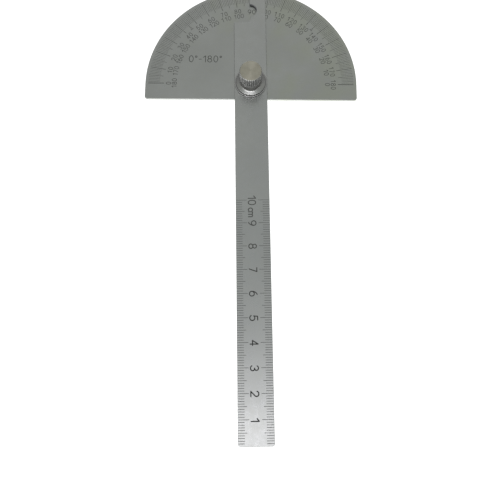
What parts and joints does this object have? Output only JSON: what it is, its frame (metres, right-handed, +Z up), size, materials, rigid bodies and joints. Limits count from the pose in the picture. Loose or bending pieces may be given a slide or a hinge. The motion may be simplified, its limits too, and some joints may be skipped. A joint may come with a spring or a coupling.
{
  "type": "protractor",
  "caption": "Half-disc steel protractor head with a long ruler arm that swings about a screw and is clamped by a knurled thumb nut.",
  "frame": {"origin": "centre of the pivot screw head's flat underside, on which the tool rests", "axes": "+Z up out of the graduated faces along the pivot, -Y along the ruler arm (which stands 1.35 degrees off square), +Y into the half-disc, +X along the head's straight edge"},
  "size_m": [0.0948, 0.2023, 0.014],
  "materials": {
    "satin_head": "satin, with filled dark graduations",
    "satin_arm": "satin, with filled dark graduations",
    "screw_steel": "turned, bright",
    "washer_steel": "bright",
    "nickel_nut": "bright nickel plate, straight knurled"
  },
  "bodies": {
    "head": {"protractor_head": "satin_head", "pivot_screw": "screw_steel"},
    "arm": {"ruler_arm": "satin_arm"},
    "washer": {"washer": "washer_steel"},
    "nut": {"thumb_nut": "nickel_nut"}
  },
  "joints": [
    {"name": "arm_swing", "type": "hinge", "parent": "head", "child": "arm", "pos_m": [0, 0, 0.0033], "axis": [0, 0, 1], "continuous": true},
    {"name": "nut_lift", "type": "slide", "parent": "head", "child": "washer", "axis": [0, 0, 1], "range_m": [0, 0.0056]},
    {"name": "nut_turn", "type": "hinge", "parent": "washer", "child": "nut", "pos_m": [0, 0, 0.0045], "axis": [0, 0, 1], "range_deg": [0, 2880]}
  ],
  "couplings": [
    {"joint": "nut_turn", "follows": "nut_lift", "rad_per_m": 8975}
  ]
}
